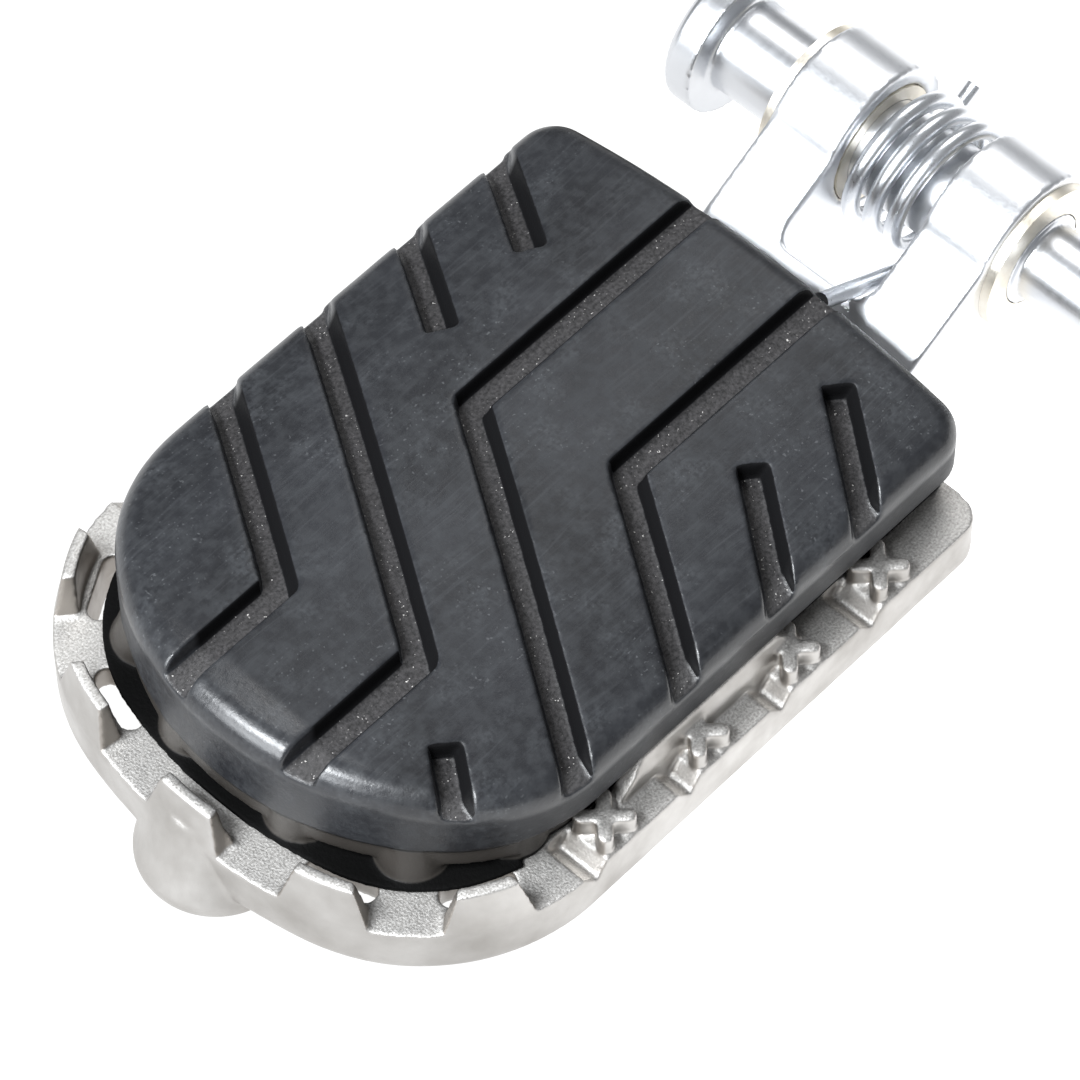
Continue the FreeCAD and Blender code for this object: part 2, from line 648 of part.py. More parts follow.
def pivot_bush(side):
    """Flanged bush pressed into a knuckle from outside."""
    inner, seat = SPRING_GAP / 2, KNUCKLE_OUTER
    face = seat + BUSH_FLANGE_THICKNESS
    flange_radius = BUSH_OUTER + BUSH_FLANGE_WIDTH
    bush = across(BUSH_OUTER, inner, face).fuse(across(flange_radius, seat, face))
    bush = bush.cut(across(PIN_RADIUS + PIN_CLEARANCE, 0, 2 * face)).removeSplitter()
    return bush if side > 0 else bush.mirror(Vector(0, 0, 0), Vector(0, 1, 0))


def pivot_pin():
    """Headed pin: thick journal, thinner end for the far bracket ear, ring groove and short nose."""
    head_seat = -SHOULDER - BRACKET_EAR
    head_end = head_seat - PIN_HEAD_THICKNESS
    groove_start = SHOULDER + PIN_END_LENGTH
    nose_start = groove_start + RING_GROOVE_WIDTH
    tip = nose_start + PIN_NOSE_LENGTH
    groove_radius = PIN_END_RADIUS - RING_GROOVE_DEPTH
    profile = [
        Vector(0, head_end, 0),
        Vector(PIN_HEAD_RADIUS - PIN_CHAMFER, head_end, 0),
        Vector(PIN_HEAD_RADIUS, head_end + PIN_CHAMFER, 0),
        Vector(PIN_HEAD_RADIUS, head_seat, 0),
        Vector(PIN_RADIUS, head_seat, 0),
        Vector(PIN_RADIUS, SHOULDER, 0),
        Vector(PIN_END_RADIUS, SHOULDER, 0),
        Vector(PIN_END_RADIUS, groove_start, 0),
        Vector(groove_radius, groove_start, 0),
        Vector(groove_radius, nose_start, 0),
        Vector(PIN_END_RADIUS, nose_start, 0),
        Vector(PIN_END_RADIUS, tip - PIN_CHAMFER, 0),
        Vector(PIN_END_RADIUS - PIN_CHAMFER, tip, 0),
        Vector(0, tip, 0),
    ]
    face = Part.Face(Part.makePolygon(profile + profile[:1]))
    return face.revolve(Vector(0, 0, 0), Vector(0, 1, 0), 360)


def wire_section(centre, radial):
    """Eight-sided section of the spring's wire, square to the coil."""
    points = []
    for step in range(9):
        angle = math.pi / 8 + step * math.pi / 4
        side = radial * (WIRE_RADIUS * math.cos(angle))
        points.append(centre + side + Vector(0, WIRE_RADIUS * math.sin(angle), 0))
    return Part.makePolygon(points)


def return_spring():
    """Torsion spring round the pin: one leg over the joint's bridge, one leg back to the bracket."""
    first, last = LEG_ANGLE - 90, -LEG_ANGLE - 90 - 360 * COIL_TURNS
    half = SPRING_GAP / 2 - COIL_END_GAP - WIRE_RADIUS
    steps = round(COIL_STEPS * (first - last) / 360)
    stations = []
    for step in range(steps + 1):
        angle = math.radians(first + (last - first) * step / steps)
        radial = Vector(math.cos(angle), 0, math.sin(angle))
        stations.append((radial * COIL_RADIUS + Vector(0, half - 2 * half * step / steps, 0), radial))
    reach, rise = math.cos(math.radians(LEG_ANGLE)), math.sin(math.radians(LEG_ANGLE))
    peg_start, peg_radial = stations[0]
    bracket_start, bracket_radial = stations[-1]
    peg_end = peg_start + Vector(reach, 0, rise) * PEG_LEG_LENGTH
    bracket_end = bracket_start + Vector(-reach, 0, rise) * BRACKET_LEG_LENGTH
    stations = [(peg_end, peg_radial)] + stations + [(bracket_end, bracket_radial)]
    return Part.makeLoft([wire_section(centre, radial) for centre, radial in stations], True, True)


# All the pieces, each in a file of its own

def pieces():
    nodes = {"platform": platform(), "tread_pad": tread_pad(), "hinge_joint": hinge_joint()}
    for place, x in PAD_SCREWS.items():
        nodes["pad_insert_" + place] = pad_insert(x)
        nodes["pad_washer_" + place] = pad_washer(x)
        nodes["pad_screw_" + place] = pad_screw(x)
    for place, (x, y) in joint_screw_places().items():
        nodes["joint_screw_" + place] = joint_screw(x, y)
    nodes["pivot_bush_left"] = pivot_bush(-1)
    nodes["pivot_bush_right"] = pivot_bush(1)
    nodes["pivot_pin"] = pivot_pin()
    nodes["return_spring"] = return_spring()
    return nodes


os.makedirs("parts", exist_ok=True)
for node, shape in pieces().items():
    shape.translate(Vector(0, -SHOULDER, 0))
    shape.exportStep("parts/%s.step" % node)
    print("%-24s solids %d, valid %s, %.1f mm3" % (node, len(shape.Solids), shape.isValid(), shape.Volume))
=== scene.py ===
import bpy
import bmesh
import math
from mathutils import Matrix, Vector, noise


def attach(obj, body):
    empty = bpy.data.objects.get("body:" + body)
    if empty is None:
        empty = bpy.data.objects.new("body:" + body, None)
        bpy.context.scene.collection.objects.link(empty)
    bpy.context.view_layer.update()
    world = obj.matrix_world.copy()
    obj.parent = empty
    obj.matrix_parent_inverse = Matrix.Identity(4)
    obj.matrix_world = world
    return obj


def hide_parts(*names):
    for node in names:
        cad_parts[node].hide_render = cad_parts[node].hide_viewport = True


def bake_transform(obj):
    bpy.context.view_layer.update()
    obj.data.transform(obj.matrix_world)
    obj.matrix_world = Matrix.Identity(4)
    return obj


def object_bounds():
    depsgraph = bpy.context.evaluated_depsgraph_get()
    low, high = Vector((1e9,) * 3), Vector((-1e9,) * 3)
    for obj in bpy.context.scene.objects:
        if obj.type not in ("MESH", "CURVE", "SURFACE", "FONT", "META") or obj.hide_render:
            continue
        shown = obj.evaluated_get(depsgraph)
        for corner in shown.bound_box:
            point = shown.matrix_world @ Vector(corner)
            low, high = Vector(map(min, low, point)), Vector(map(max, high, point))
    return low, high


# Folding footpeg with a cast toothed rim and a grooved rubber tread pad, lying level on a white table.
# Lengths are metres in the part's own frame: pivot axis along Y through the origin, peg along +X.
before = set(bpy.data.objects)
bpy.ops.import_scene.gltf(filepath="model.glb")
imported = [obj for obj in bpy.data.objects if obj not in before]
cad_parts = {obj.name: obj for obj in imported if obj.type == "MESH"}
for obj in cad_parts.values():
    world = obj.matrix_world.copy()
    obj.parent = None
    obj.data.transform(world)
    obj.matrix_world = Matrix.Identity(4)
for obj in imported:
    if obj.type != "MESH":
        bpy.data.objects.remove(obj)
cad_low, cad_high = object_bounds()
MM = 0.001

# Where things are on the part
MIDDLE_X = 60 * MM
MIDDLE_Y = -14.6 * MM
NOSE_CENTRE_X = 78.0 * MM

# Tread pad: crown, corners of the outline, shoulder, parting line, foot, and the way across its grooves
CROWN_TOP = 13.5 * MM
CROWN_RADIUS = 102.7 * MM
PAD_REAR_X = 24.0 * MM
PAD_CORNER_X = 74.0 * MM
PAD_CORNER_Y = 8.2 * MM
PAD_CORNER_RADIUS = 18.2 * MM
SHOULDER = 1.4 * MM
PARTING_LINE_Z = 4.1 * MM
FOOT_TOP_Z = 0.6 * MM
GROOVE_DEPTH = 2.0 * MM
TREAD_ANGLE = math.radians(57.2)
ACROSS_TREAD = Vector((math.sin(TREAD_ANGLE), -math.cos(TREAD_ANGLE), 0))

# Draft of the groove walls: how far the foot of each wall comes out, and where the walls stay upright
NOSE_WALL_DRAFT = 0.85 * MM
REAR_WALL_DRAFT = 0.3 * MM
SIDE_WALL_DRAFT = 0.1 * MM
REAR_CORNER_X = PAD_REAR_X + 5 * MM
REAR_CORNER_ASIDE = 20 * MM
NOSE_LEFT_X = PAD_CORNER_X - 8 * MM

# What counts as a groove wall: how far it may tilt, how well it faces its way, and how deep its foot lies
MOST_TILT = 0.2
LEAST_FACING = 0.9
FOOT_SHARE = 0.95

# Softened skins: what is merged first, bumps of unevenness per millimetre, and most triangles of a piece
MERGE_DISTANCE = 0.0005 * MM
UNEVENNESS_PER_MM = 0.22
MOST_TRIANGLES = 185000

# Return spring
WIRE_RADIUS = 0.9 * MM
COIL_RADIUS = 7.0 * MM
COIL_TURNS = 3
COIL_HALF = 4.2 * MM
STEPS_PER_TURN = 48
WIRE_SIDES = 14
LEG_ANGLE = math.radians(30)
PEG_LEG = 19.0 * MM
BRACKET_LEG = 10.0 * MM

# Table
TABLE_Z = cad_low[2]
TABLE_GAP = 0.02 * MM
TABLE_WIDTH = 4

# Camera, as found from the photo: its direction, the spot it looks at, how far off it is and how far aside
CAMERA_AZIMUTH = math.radians(133.18)
CAMERA_ELEVATION = math.radians(55.97)
CAMERA_TARGET = Vector((62 * MM, MIDDLE_Y + 5.39 * MM, CROWN_TOP))
CAMERA_DISTANCE = 546 * MM
CAMERA_ASIDE = 1.779 * MM
CAMERA_LENS = 204.6
CAMERA_SENSOR = 36
CAMERA_NEAR = 10 * MM

# Noise lies mostly between these values, and places waver in bends this many per millimetre
NOISE_LOW = 0.3
NOISE_HIGH = 0.7
WAVER_PER_MM = 0.06


# Node helpers for the finishes

class Finish:
    """A node material on Object coordinates, in millimetres, built step by step."""

    def __init__(self, name, colour, metallic, roughness, specular=0.5):
        self.material = bpy.data.materials.new(name)
        self.material.use_nodes = True
        self.tree = self.material.node_tree
        self.shader = self.tree.nodes["Principled BSDF"]
        self.shader.inputs["Base Color"].default_value = (*colour, 1)
        self.shader.inputs["Metallic"].default_value = metallic
        self.shader.inputs["Roughness"].default_value = roughness
        self.shader.inputs["Specular IOR Level"].default_value = specular
        place = self.tree.nodes.new("ShaderNodeTexCoord")
        scale = self.tree.nodes.new("ShaderNodeVectorMath")
        scale.operation = "MULTIPLY"
        scale.inputs[1].default_value = (1 / MM, 1 / MM, 1 / MM)
        self.tree.links.new(place.outputs["Object"], scale.inputs[0])
        self.place = scale.outputs[0]
        split = self.tree.nodes.new("ShaderNodeSeparateXYZ")
        self.tree.links.new(self.place, split.inputs[0])
        self.x, self.y, self.z = split.outputs
        turn = self.tree.nodes.new("ShaderNodeSeparateXYZ")
        self.tree.links.new(place.outputs["Normal"], turn.inputs[0])
        self.normal = place.outputs["Normal"]
        self.up = turn.outputs["Z"]

    def put(self, socket, value):
        """Link a socket to another one, or set it to a number or colour."""
        if isinstance(value, bpy.types.NodeSocket):
            self.tree.links.new(value, socket)
        else:
            socket.default_value = value

    def math(self, operation, a, b=0.0, clamp=False):
        """One sum of sockets or numbers."""
        node = self.tree.nodes.new("ShaderNodeMath")
        node.operation = operation
        node.use_clamp = clamp
        self.put(node.inputs[0], a)
        self.put(node.inputs[1], b)
        return node.outputs[0]

    def rest(self, share):
        """What a share leaves of 1."""
        return self.math("SUBTRACT", 1.0, share)

    def step(self, value, low, high):
        """0 below low, 1 above high, smooth between."""
        node = self.tree.nodes.new("ShaderNodeMapRange")
        node.interpolation_type = "SMOOTHSTEP"
        self.put(node.inputs["Value"], value)
        node.inputs["From Min"].default_value = low
        node.inputs["From Max"].default_value = high
        return node.outputs["Result"]

    def span(self, value, low, high):
        """Noise made a range of values."""
        node = self.tree.nodes.new("ShaderNodeMapRange")
        self.put(node.inputs["Value"], value)
        node.inputs["From Min"].default_value = NOISE_LOW
        node.inputs["From Max"].default_value = NOISE_HIGH
        node.inputs["To Min"].default_value = low
        node.inputs["To Max"].default_value = high
        return node.outputs["Result"]

    def wavering(self, amount_mm):
        """Places pushed about softly, so that marks laid on them run in bent lines."""
        node = self.tree.nodes.new("ShaderNodeTexNoise")
        node.inputs["Scale"].default_value = WAVER_PER_MM
        push = self.tree.nodes.new("ShaderNodeVectorMath")
        push.operation = "MULTIPLY_ADD"
        push.inputs[1].default_value = (amount_mm, amount_mm, 0)
        self.put(node.inputs["Vector"], self.place)
        self.put(push.inputs[0], node.outputs["Color"])
        self.put(push.inputs[2], self.place)
        return push.outputs[0]

    def grain(self, per_mm, detail=3.0, stretch=(1, 1, 1), turn=0.0, place=None):
        """Noise of so many bumps per millimetre, stretched and turned about Z where it has a direction."""
        node = self.tree.nodes.new("ShaderNodeTexNoise")
        node.inputs["Scale"].default_value = per_mm
        node.inputs["Detail"].default_value = detail
        mapping = self.tree.nodes.new("ShaderNodeMapping")
        mapping.inputs["Rotation"].default_value = (0, 0, turn)
        mapping.inputs["Scale"].default_value = stretch
        self.put(mapping.inputs["Vector"], place or self.place)
        self.tree.links.new(mapping.outputs["Vector"], node.inputs["Vector"])
        return node.outputs["Fac"]

    def mix(self, share, a, b):
        """Colour a where share is 0, b where it is 1."""
        node = self.tree.nodes.new("ShaderNodeMix")
        node.data_type = "RGBA"
        self.put(node.inputs["Factor"], share)
        self.put(node.inputs["A"], a if isinstance(a, bpy.types.NodeSocket) else (*a, 1))
        self.put(node.inputs["B"], b if isinstance(b, bpy.types.NodeSocket) else (*b, 1))
        return node.outputs["Result"]

    def bump(self, height, strength, distance_mm):
        """Fine roughness that is too small for the mesh."""
        node = self.tree.nodes.new("ShaderNodeBump")
        node.inputs["Strength"].default_value = strength
        node.inputs["Distance"].default_value = distance_mm * MM
        self.put(node.inputs["Height"], height)
        self.put(self.shader.inputs["Normal"], node.outputs["Normal"])

    def outward_share(self, low, high):
        """1 where a wall faces away from the peg's middle, 0 where it faces along the rim or inwards."""
        along = self.math("MAXIMUM", self.math("SUBTRACT", self.x, NOSE_CENTRE_X / MM), 0.0)
        aside = self.math("SUBTRACT", self.y, MIDDLE_Y / MM)
        away = self.tree.nodes.new("ShaderNodeCombineXYZ")
        self.put(away.inputs["X"], along)
        self.put(away.inputs["Y"], aside)
        unit = self.tree.nodes.new("ShaderNodeVectorMath")
        unit.operation = "NORMALIZE"
        self.put(unit.inputs[0], away.outputs[0])
        facing = self.tree.nodes.new("ShaderNodeVectorMath")
        facing.operation = "DOT_PRODUCT"
        self.put(facing.inputs[0], unit.outputs[0])
        self.put(facing.inputs[1], self.normal)
        return self.step(facing.outputs["Value"], low, high)

    def facing(self, direction):
        """How far the surface faces a direction, from -1 to 1."""
        node = self.tree.nodes.new("ShaderNodeVectorMath")
        node.operation = "DOT_PRODUCT"
        self.put(node.inputs[0], self.normal)
        node.inputs[1].default_value = direction
        return node.outputs["Value"]

    def colour(self, value):
        self.put(self.shader.inputs["Base Color"], value)

    def roughness(self, value):
        self.put(self.shader.inputs["Roughness"], value)


def cast_steel():
    """Satin cast stainless: gritty where it faces up, smooth on its walls, with painted shade on the teeth's
    flanks: a brown painted reflection of the dark rubber.
    """
    f = Finish("cast_steel", (0.6, 0.59, 0.57), 1.0, 0.36)
    facing_up = f.step(f.up, 0.45, 0.85)
    painted_shade_flank = f.math("MULTIPLY", f.rest(facing_up), f.rest(f.outward_share(0.45, 0.8)))
    fine = f.grain(4.2, 4)
    coarse = f.grain(0.9, 3)
    stain = f.grain(0.16, 5)
    plain = f.mix(f.span(stain, 0.0, 1.0), (0.53, 0.516, 0.498), (0.37, 0.354, 0.335))
    # Painted shade: walls that face neither up nor outward, the teeth's flanks, are darkened brown as a
    # painted reflection of the dark rubber
    plain = f.mix(f.math("MULTIPLY", painted_shade_flank, 0.7), plain, (0.33, 0.298, 0.266))
    sparkle = f.mix(f.span(fine, 0.0, 1.0), (0.33, 0.318, 0.302), (0.64, 0.628, 0.61))
    f.colour(f.mix(f.math("MULTIPLY", facing_up, 0.85), plain, sparkle))
    f.roughness(f.math("ADD", f.math("MULTIPLY", facing_up, 0.16), f.span(coarse, 0.38, 0.48)))
    grit = f.math("MULTIPLY", fine, f.math("ADD", facing_up, 0.1))
    f.bump(f.math("ADD", grit, f.math("MULTIPLY", coarse, 0.3)), 0.5, 0.1)
    return f.material


def pad_rubber():
    """Charcoal moulded rubber: scratched on top, gritty groove floors, browner under the parting line."""
    f = Finish("pad_rubber", (0.02, 0.021, 0.024), 0.0, 0.5, 0.4)
    # Where on the pad: depth under the crown, groove floors, and the outline's edge
    aside = f.math("ABSOLUTE", f.math("SUBTRACT", f.y, MIDDLE_Y / MM))
    sag = f.math("MULTIPLY", f.math("MULTIPLY", aside, aside), 0.5 * MM / CROWN_RADIUS)
    depth = f.math("SUBTRACT", f.math("SUBTRACT", CROWN_TOP / MM, sag), f.z)
    facing_up = f.step(f.up, 0.7, 0.9)
    floor = f.math("MULTIPLY", facing_up, f.step(depth, 1.4, 1.8))
    past_side = f.math("MAXIMUM", f.math("SUBTRACT", aside, PAD_CORNER_Y / MM), 0.0)
    past_nose = f.math("MAXIMUM", f.math("SUBTRACT", f.x, PAD_CORNER_X / MM), 0.0)
    squares = f.math("ADD", f.math("POWER", past_side, 2.0), f.math("POWER", past_nose, 2.0))
    from_corner = f.math("SQRT", squares)
    shoulder_from = (PAD_CORNER_RADIUS - SHOULDER) / MM
    within = f.rest(f.step(from_corner, shoulder_from - 1.0, shoulder_from))
    steep = f.rest(f.step(f.up, 0.72, 0.92))
    # Painted shade: groove walls coloured near-black where shade falls, which end at the shoulder but run
    # out at the right side
    sideways = f.math("SQRT", f.math("SUBTRACT", 1.0, f.math("MULTIPLY", f.up, f.up), True))
    lit_side = f.math("SUBTRACT", f.facing(-ACROSS_TREAD), f.math("MULTIPLY", sideways, 0.8))
    shaded = f.rest(f.step(lit_side, -0.04, 0.04))
    dark_side = f.math("SUBTRACT", f.facing(ACROSS_TREAD), f.math("MULTIPLY", sideways, 0.8))
    right_half = f.step(f.y, MIDDLE_Y / MM + 8, MIDDLE_Y / MM + 12)
    run_out = f.math("MULTIPLY", f.step(dark_side, -0.04, 0.04), right_half)
    shallow = f.rest(f.step(depth, 2.1, 2.4))
    painted_wall_shade = f.math("MAXIMUM", f.math("MULTIPLY", within, shaded), run_out)
    painted_wall_shade = f.math("MULTIPLY", painted_wall_shade, f.math("MULTIPLY", steep, shallow))
    # Parting line, the band under it, and the foot, painted near-black as the shade in the recess under the
    # lip
    parting = PARTING_LINE_Z / MM
    below = f.rest(f.step(f.z, parting - 0.25, parting - 0.05))
    painted_foot_shade = f.rest(f.step(f.z, FOOT_TOP_Z / MM, FOOT_TOP_Z / MM + 0.2))
    off_line = f.math("ABSOLUTE", f.math("SUBTRACT", f.z, parting))
    line = f.rest(f.step(off_line, 0.06, 0.2))
    # Wear on the top: clouds, scratches in three directions, dust and dots
    fine = f.grain(3.0, 4)
    mottle = f.grain(0.8, 6)
    cloud = f.grain(0.09, 4)
    bent = f.wavering(2.0)
    streaks = f.grain(1.0, 3, (0.12, 3.2, 1), math.radians(-12), bent)
    scuffs = f.grain(1.0, 3, (0.09, 2.6, 1), math.radians(38), bent)
    patches = f.step(f.grain(0.07, 2), 0.42, 0.66)
    marks = f.math("MULTIPLY", f.step(streaks, 0.5, 0.74), patches)
    marks = f.math("MAXIMUM", marks, f.math("MULTIPLY", f.step(scuffs, 0.54, 0.76), 0.8))
    hairs = f.grain(1.0, 2, (0.08, 3.6, 1), math.radians(82))
    marks = f.math("MAXIMUM", marks, f.math("MULTIPLY", f.step(hairs, 0.58, 0.76), 0.6))
    dust = f.math("MULTIPLY", f.step(f.grain(0.24, 6), 0.44, 0.74), f.step(f.grain(2.2, 2), 0.3, 0.7))
    dots = f.math("MULTIPLY", f.step(f.grain(2.6, 1), 0.66, 0.76), f.step(f.grain(0.12, 2), 0.45, 0.62))
    top = f.mix(f.span(cloud, 0.0, 1.0), (0.006, 0.0065, 0.008), (0.014, 0.015, 0.0178))
    top = f.mix(f.math("MULTIPLY", f.step(mottle, 0.38, 0.66), 0.4), top, (0.028, 0.03, 0.033))
    top = f.mix(f.math("MULTIPLY", dust, 0.3), top, (0.065, 0.07, 0.076))
    top = f.mix(f.math("MULTIPLY", dots, 0.32), top, (0.12, 0.125, 0.13))
    top = f.mix(f.math("MULTIPLY", marks, 0.13), top, (0.08, 0.085, 0.092))
    # Groove floors, then everything put together
    gritty = f.mix(f.span(fine, 0.0, 1.0), (0.009, 0.0087, 0.009), (0.042, 0.04, 0.041))
    specks = f.math("MULTIPLY", f.step(f.grain(4.0, 1), 0.7, 0.75), f.step(f.grain(0.4, 2), 0.42, 0.6))
    gritty = f.mix(specks, gritty, (0.4, 0.385, 0.37))
    colour = f.mix(floor, top, gritty)
    colour = f.mix(below, colour, (0.03, 0.0268, 0.0238))
    # Painted shade: the foot is coloured near-black, as the recess under the lip is in shade
    colour = f.mix(painted_foot_shade, colour, (0.003, 0.003, 0.003))
    # Painted shade: the groove walls are coloured near-black
    colour = f.mix(painted_wall_shade, colour, (0.006, 0.006, 0.0065))
    f.colour(f.mix(line, colour, (0.004, 0.004, 0.004)))
    dull = f.math("MAXIMUM", painted_wall_shade, painted_foot_shade)
    rubbed = f.math("MULTIPLY", f.rest(within), f.rest(f.step(depth, 2.2, 3.0)))
    shine = f.math("ADD", f.math("SUBTRACT", 1.1, dull), f.math("MULTIPLY", rubbed, 1.3))
    f.put(f.shader.inputs["Specular IOR Level"], f.math("MULTIPLY", shine, 0.27))
    dry = f.math("ADD", f.math("MULTIPLY", floor, 0.15), f.span(mottle, 0.41, 0.51))
    f.roughness(f.math("SUBTRACT", dry, f.math("MULTIPLY", rubbed, 0.14)))
    rough = f.math("MULTIPLY", fine, f.math("ADD", f.math("MULTIPLY", floor, 1.3), 0.4))
    rough = f.math("ADD", rough, f.math("MULTIPLY", mottle, 0.35))
    f.bump(f.math("ADD", rough, f.math("MULTIPLY", marks, 0.06)), 0.4, 0.12)
    return f.material


def bright_steel(name, colour, roughness, brushed):
    """Machined or drawn steel with fine marks in one direction."""
    f = Finish(name, colour, 1.0, roughness)
    marks = f.grain(4.0, 3, brushed)
    cloud = f.grain(0.15, 3)
    darker = tuple(0.93 * c for c in colour)
    f.colour(f.mix(f.span(cloud, 0.0, 1.0), colour, darker))
    f.roughness(f.span(marks, roughness - 0.03, roughness + 0.04))
    f.bump(marks, 0.04, 0.006)
    return f.material


def bearing_bronze():
    """Turned bronze with a tinned skin, slightly dull."""
    f = Finish("bearing_bronze", (0.85, 0.8, 0.7), 1.0, 0.38)
    marks = f.grain(2.4, 3, (1, 3.0, 1))
    cloud = f.grain(0.3, 3)
    f.colour(f.mix(f.span(cloud, 0.0, 1.0), (0.88, 0.84, 0.76), (0.8, 0.74, 0.62)))
    f.roughness(f.span(marks, 0.32, 0.46))
    f.bump(marks, 0.15, 0.05)
    return f.material


def lit_table():
    """White table that glows evenly, with painted light: a pool of extra glow behind the peg and on its
    hinge side.
    """
    f = Finish("white_table", (0.06, 0.06, 0.06), 0.0, 0.9)
    behind = f.math("SUBTRACT", f.math("MULTIPLY", f.y, 0.83), f.math("MULTIPLY", f.x, 0.55))
    f.shader.inputs["Emission Color"].default_value = (1, 1, 1, 1)
    # Painted light: a pool of extra glow on the table behind the peg and on its hinge side
    painted_glow_behind = f.math("MULTIPLY", f.step(behind, 4.0, 30.0), 0.6)
    f.put(f.shader.inputs["Emission Strength"], f.math("ADD", painted_glow_behind, 1.0))
    return f.material


# Pieces

def dress(piece, body, material):
    """Give a finished piece its finish and body."""
    piece.data.materials.clear()
    piece.data.materials.append(material)
    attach(piece, body)


def plain_mesh(piece):
    """Apply what modifiers the piece has, so that only a mesh is left."""
    graph = bpy.context.evaluated_depsgraph_get()
    mesh = bpy.data.meshes.new_from_object(piece.evaluated_get(graph))
    piece.modifiers.clear()
    old = piece.data
    piece.data = mesh
    bpy.data.meshes.remove(old)
    mesh.name = piece.name


def depth_below_crown(spot):
    """How far a place lies under the pad's crowned top."""
    aside = spot.y - MIDDLE_Y
    return CROWN_TOP - aside * aside / (2 * CROWN_RADIUS) - spot.z


def lean_groove_walls(work):
    """Draft on the tread: the walls of its grooves lean out at their foot."""
    right_side = Vector((0, 1, 0))
    drafts = [
        (ACROSS_TREAD, NOSE_WALL_DRAFT),
        (-ACROSS_TREAD, REAR_WALL_DRAFT),
        (right_side, SIDE_WALL_DRAFT),
    ]
    moves = {}
    for face in work.faces:
        spot = face.calc_center_median()
        aside = spot.y - MIDDLE_Y
        from_corner = math.hypot(max(abs(aside) - PAD_CORNER_Y, 0), max(spot.x - PAD_CORNER_X, 0))
        on_edge = from_corner > PAD_CORNER_RADIUS - SHOULDER
        rear_corner = spot.x < REAR_CORNER_X and abs(aside) > REAR_CORNER_ASIDE
        nose_left = on_edge and spot.x > NOSE_LEFT_X and aside < 0
        outside = depth_below_crown(spot) > GROOVE_DEPTH or rear_corner or nose_left
        if outside or abs(face.normal.z) > MOST_TILT:
            continue
        for direction, run in drafts:
            if face.normal.dot(direction) > LEAST_FACING and not (on_edge and direction is right_side):
                foot_depth = FOOT_SHARE * GROOVE_DEPTH
                feet = [vert for vert in face.verts if depth_below_crown(vert.co) > foot_depth]
                moves.update((vert, direction * run) for vert in feet)
    for vert, move in moves.items():
        vert.co += move


def softened(node, name, voxel_mm, passes, unevenness_mm=0.0, reshape=None):
    """A copy of a solid with the soft edges of a casting or moulding, and a slightly uneven skin."""
    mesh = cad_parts[node].data.copy()
    work = bmesh.new()
    work.from_mesh(mesh)
    bmesh.ops.remove_doubles(work, verts=work.verts, dist=MERGE_DISTANCE)
    if reshape:
        reshape(work)
    work.to_mesh(mesh)
    work.free()
    piece = bpy.data.objects.new(name, mesh)
    bpy.context.scene.collection.objects.link(piece)
    remesh = piece.modifiers.new("even_skin", "REMESH")
    remesh.mode = "VOXEL"
    remesh.voxel_size = voxel_mm * MM
    smooth = piece.modifiers.new("soft_edges", "SMOOTH")
    smooth.factor = 0.5
    smooth.iterations = passes
    plain_mesh(piece)
    if unevenness_mm:
        outward = [vertex.normal.copy() for vertex in piece.data.vertices]
        for vertex, normal in zip(piece.data.vertices, outward):
            rise = noise.noise(vertex.co * (UNEVENNESS_PER_MM / MM)) * unevenness_mm * MM
            vertex.co += normal * rise
    triangles = sum(len(polygon.vertices) - 2 for polygon in piece.data.polygons)
    if triangles > MOST_TRIANGLES:
        piece.modifiers.new("fewer_faces", "DECIMATE").ratio = MOST_TRIANGLES / triangles
        plain_mesh(piece)
    piece.data.shade_smooth()
    return piece


def spring_path():
    """Centre line of the spring: peg leg, coil, bracket leg."""
    first = LEG_ANGLE - math.pi / 2
    last = -LEG_ANGLE - math.pi / 2 - 2 * math.pi * COIL_TURNS
    steps = STEPS_PER_TURN * COIL_TURNS
    points = []
    for step in range(steps + 1):
        angle = first + (last - first) * step / steps
        y = MIDDLE_Y + COIL_HALF - 2 * COIL_HALF * step / steps
        points.append(Vector((COIL_RADIUS * math.cos(angle), y, COIL_RADIUS * math.sin(angle))))
    rise = Vector((0, 0, math.sin(LEG_ANGLE)))
    out = Vector((math.cos(LEG_ANGLE), 0, 0))
    peg_end = points[0] + (out + rise) * PEG_LEG
    bracket_end = points[-1] + (rise - out) * BRACKET_LEG
    return [peg_end] + points + [bracket_end]


